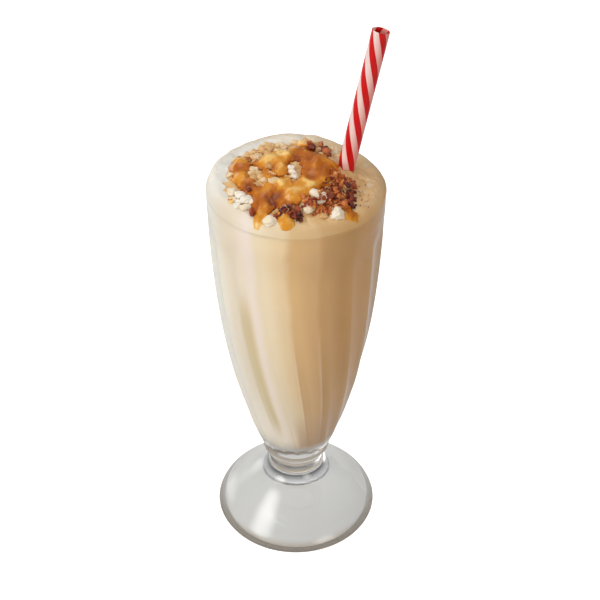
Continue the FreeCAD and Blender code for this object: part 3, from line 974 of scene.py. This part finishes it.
def ground_height(x, y, lumps):
    """Top of everything under the sauce: froth, core and lumps."""
    ground = np.maximum(foam_height(x, y) - shoulder_drop(np.hypot(x, y)), core_height(x, y))
    for lump in lumps:
        radius, squash = lump[2:4]
        cx, cy, cz = lump_centre(lump)
        inside = 1 - ((x - cx) ** 2 + (y - cy) ** 2) / radius ** 2
        top = cz + radius * squash * np.sqrt(np.maximum(inside, 0))
        ground = np.where(inside < 0, ground, np.maximum(ground, top))
    return ground


def stroke_depth(x, y, strokes):
    """Distance inside tapering strokes, negative outside them."""
    depth = np.full(np.shape(x), -1e3)
    for ax, ay, first, bx, by, second in strokes:
        dx = bx - ax
        dy = by - ay
        u = np.clip(((x - ax) * dx + (y - ay) * dy) / (dx * dx + dy * dy), 0, 1)
        radius = first + (second - first) * u
        depth = np.maximum(depth, radius - np.hypot(x - ax - u * dx, y - ay - u * dy))
    return depth


def cell_corners(field):
    """A field at the four corners of each cell of its grid."""
    return field[:-1, :-1], field[1:, :-1], field[1:, 1:], field[:-1, 1:]


def sheet_mesh(x, y, top, bottom, keep):
    """Vertices and faces of a closed sheet between two heights over the kept cells."""
    cells = np.logical_and.reduce(cell_corners(keep))
    used = np.logical_or.reduce(cell_corners(np.pad(cells, 1)))
    count = int(used.sum())
    index = np.full(keep.shape, -1)
    index[used] = np.arange(count)
    corners = np.stack([corner[cells] for corner in cell_corners(index)], 1)
    faces = corners.tolist() + (corners[:, ::-1] + count).tolist()
    edges = {(row[k - 1], row[k]) for row in corners.tolist() for k in range(4)}
    for a, b in sorted(edges):
        if (b, a) not in edges:
            faces.append((b, a, a + count, b + count))
    vertices = np.vstack([np.stack([x[used], y[used], z[used]], 1) for z in (top, bottom)])
    return vertices, faces, used


def make_sauce(material, lumps):
    """Thick sauce draped over the lumps; returns the height of whatever is on top."""
    ticks = np.arange(-GRID_HALF, GRID_HALF + GRID_STEP / 2, GRID_STEP)
    x, y = np.meshgrid(ticks, ticks, indexing="ij")
    ground = ground_height(x, y, lumps)
    wander = relief(x, y, SAUCE_WANDER) * (1 - 0.7 * smooth_step(-28, -32, y))
    depth = stroke_depth(x, y, SAUCE_STROKES) + wander
    thin = stroke_depth(x, y, SAUCE_EXTRAS) + 0.5 * wander
    settled = np.maximum(blurred(ground, 1.9), blurred(ground, 3.8))
    body = SAUCE_DEPTH * np.sqrt(np.clip(depth / 2.8, 0, 1)) * (1 + relief(x, y, SAUCE_UNEVEN))
    coat = COAT_DEPTH * np.sqrt(np.clip(thin / 1.2, 0, 1))
    top = settled + np.maximum(body, coat) - 0.25
    bottom = np.minimum(top, ground) - 0.7
    clear = straw_distance(x, y, settled) > STRAW_RADIUS + 0.2
    keep = (np.maximum(depth, thin) > 0) & clear & (np.hypot(x, y) < FOAM_RADIUS - 0.3)
    vertices, faces, used = sheet_mesh(x, y, top, bottom, keep)
    piece = make_piece("butterscotch_sauce", vertices, faces, material, "sauce")
    # Painted shade: how far the sauce lies below its smoothed top darkens it in hollows.
    hollow = blurred(top, 4) - top
    # The tone spots: partly the sauce's own colour, partly painted shade and painted highlight.
    brown = sum(amount * np.exp(-((x - cx) ** 2 + (y - cy) ** 2) / radius ** 2)
                for cx, cy, radius, amount in SAUCE_TONES)
    looks = [("depth", np.clip((top - ground) / 3, 0, 1)),
             ("hollow", np.clip(hollow / 2 + 0.5, 0, 1)), ("brown", brown)]
    for name, field in looks:
        set_attribute(piece, name, np.tile(field[used], 2))
    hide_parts("sauce")
    return np.where(keep, top, ground)


# --- Crumbs ---
def ground_at(ground, x, y):
    """Height at the nearest point of the sauce's grid."""
    i = int(round((x + GRID_HALF) / GRID_STEP))
    j = int(round((y + GRID_HALF) / GRID_STEP))
    return ground[i, j]


def bell(rng):
    """A random number about zero that thins out to both sides."""
    return 0.6 * np.clip(rng.normal(), -CRUMB_SPREAD, CRUMB_SPREAD)


def crumb_free(x, y, size):
    """Whether a crumb lies on the head and clear of the straw."""
    on_head = math.hypot(x, y) <= FOAM_RADIUS - 1.5
    return on_head and straw_distance(x, y, CRUMBS_LEVEL) >= STRAW_RADIUS + size


def make_crumbs(material, ground):
    """Angular crumbs scattered on whatever is highest, and the larger shards."""
    rng = np.random.default_rng(seed=51)
    unit, faces = ball(1)
    count = len(unit)
    shapes = []
    tones = []
    for cx, cy, half_width, half_depth, wanted, largest, tone in CRUMB_ZONES:
        for _ in range(wanted):
            x = cx + half_width * bell(rng)
            y = cy + half_depth * bell(rng)
            size = 0.5 * largest * rng.uniform(0.3, 1) ** 1.3
            if not crumb_free(x, y, size):
                continue
            z = ground_at(ground, x, y) + size * rng.uniform(0.1, 0.6)
            shape = unit * rng.uniform(0.62, 1.2, (count, 1)) * rng.uniform(0.38, 1.25, 3) * size
            shapes.append(shape @ random_turn(rng).T + (x, y, z))
            tones.append(np.full(count, np.clip(tone + 0.2 * rng.normal(), 0, 1)))
    for x, y, half_width, half_depth, half_height, tone in SHARDS:
        shape = unit * rng.uniform(0.75, 1.15, (count, 1)) * (half_width, half_depth, half_height)
        shapes.append(shape + (x, y, ground_at(ground, x, y) + 0.5 * half_height))
        tones.append(np.clip(tone + 0.12 * rng.normal(size=count), 0, 1))
    piece = make_piece("toasted_crumbs", *joined(shapes, faces), material, "topping", smooth=False)
    set_attribute(piece, "tone", np.concatenate(tones))


# --- Straw ---
def straw_place():
    """Matrix of the straw's own frame, Z along it and -Y to the front, and its length."""
    rise = STRAW_TOP_Z - STRAW_END_Z
    axis = Vector((STRAW_LEAN[0] * rise, STRAW_LEAN[1] * rise, rise))
    length = axis.length
    axis.normalize()
    back = (Vector((0, 1, 0)) - axis * axis.y).normalized()
    side = back.cross(axis)
    low = Vector((*straw_axis(STRAW_END_Z), STRAW_END_Z))
    turn = Matrix((side, back, axis)).transposed().to_4x4()
    return Matrix.Translation(low * MM) @ turn, length


def make_straw(material):
    """A thin tube in its own frame, moved onto the straw's axis."""
    place, length = straw_place()
    round_off = (STRAW_RADIUS - STRAW_BORE) / 2
    outer = [(STRAW_RADIUS, z) for z in np.linspace(round_off, length - round_off, 60)]
    inner = [(STRAW_BORE, z) for z in np.linspace(length - round_off, round_off, 60)]
    middle = STRAW_RADIUS - round_off
    top = arc((middle, length - round_off), round_off, 20, 160, 6)
    bottom = arc((middle, round_off), round_off, 200, 340, 6)
    rings = turned_rings(np.vstack([outer, top, inner, bottom]), 72)
    faces = ring_faces(*rings.shape[:2], closed=True)
    piece = make_piece("striped_straw", rings.reshape(-1, 3), faces, material, "straw", place=place)
    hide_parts("straw")


# --- Surroundings ---
def make_floor():
    """A pale floor that reads white to the camera and keeps the soft shadow."""
    m = Recipe("pale_floor")
    m.surface(Base_Color=m.mix(m.noise(60), srgb(194, 193, 191), srgb(198, 197, 195)), Roughness=0.9)
    path = m.node("ShaderNodeLightPath").outputs
    through = m.larger(path["Is Transmission Ray"], path["Is Glossy Ray"])
    seen = m.larger(path["Is Camera Ray"], m.times(through, GLASS_SHARE))
    glow = m.node("ShaderNodeEmission", Color=(1, 1, 1, 1), Strength=m.times(seen, FLOOR_GLOW))
    m.finish_with("ShaderNodeAddShader", m.shader, glow)
    corners = [(FLOOR_HALF * a, FLOOR_HALF * b, 0.0) for a, b in ((-1, -1), (1, -1), (1, 1), (-1, 1))]
    mesh = bpy.data.meshes.new("floor")
    mesh.from_pydata(corners, [], [(0, 1, 2, 3)])
    mesh.materials.append(m.material)
    floor = new_object("floor", mesh)


def make_lamp(name, place, size, power, colour):
    """A rectangular lamp facing the glass, fading to its edges so that no hard edge reflects."""
    data = bpy.data.lights.new(name, "AREA")
    data.shape = "RECTANGLE"
    data.size, data.size_y = size
    data.energy = power
    data.color = colour
    data.use_nodes = True
    nodes = Nodes(data.node_tree)
    off = nodes.node("ShaderNodeVectorMath", {"operation": "DISTANCE"})
    nodes.feed(off.inputs[0], nodes.node("ShaderNodeNewGeometry").outputs["Parametric"])
    nodes.feed(off.inputs[1], (0.5, 0.5, 0))
    strength = nodes.times(nodes.fade(off.outputs["Value"], 0.5, 0.1), LAMP_STRENGTH)
    nodes.feed(nodes.tree.nodes["Emission"].inputs["Strength"], strength)
    lamp = new_object(name, data)
    lamp.location = place
    lamp.rotation_euler = (Vector(LAMP_TARGET) - Vector(place)).to_track_quat("-Z", "Y").to_euler()


def make_world():
    """A studio that is white to the camera and darker towards its horizon for the glass."""
    world = bpy.data.worlds.new("studio")
    bpy.context.scene.world = world
    world.use_nodes = True
    nodes = Nodes(world.node_tree)
    direction = nodes.node("ShaderNodeTexCoord").outputs["Generated"]
    up = nodes.node("ShaderNodeSeparateXYZ", Vector=direction).outputs["Z"]
    sky = nodes.plus(nodes.times(nodes.fade(up, 0.05, 0.75), SKY_HIGH - SKY_LOW), SKY_LOW)
    camera = nodes.node("ShaderNodeLightPath").outputs["Is Camera Ray"]
    background = nodes.tree.nodes["Background"]
    nodes.feed(background.inputs["Color"], (1, 1, 1, 1))
    nodes.feed(background.inputs["Strength"], nodes.larger(camera, sky))


def make_camera():
    """The viewing angle: from the front, looking down."""
    data = bpy.data.cameras.new("camera")
    data.lens = CAMERA_LENS
    data.shift_x = CAMERA_SHIFT
    camera = new_object("camera", data)
    camera.location = CAMERA_PLACE
    camera.rotation_euler = (math.radians(90 - CAMERA_DOWN), 0, 0)
    bpy.context.scene.camera = camera


# --- All of it ---
def build():
    """The camera, the surroundings, and then the pieces."""
    make_camera()
    make_floor()
    for lamp in LAMPS:
        make_lamp(*lamp)
    make_world()
    bpy.context.scene.view_settings.view_transform = "Standard"
    make_glass(clear_glass())
    make_milkshake(milkshake_material())
    make_foam(foam_material())
    cream = cream_material()
    make_core(cream)
    lumps = lump_list()
    make_lumps(cream, lumps)
    covered = make_sauce(sauce_material(), lumps)
    make_crumbs(crumb_material(), covered)
    make_straw(straw_material())


build()
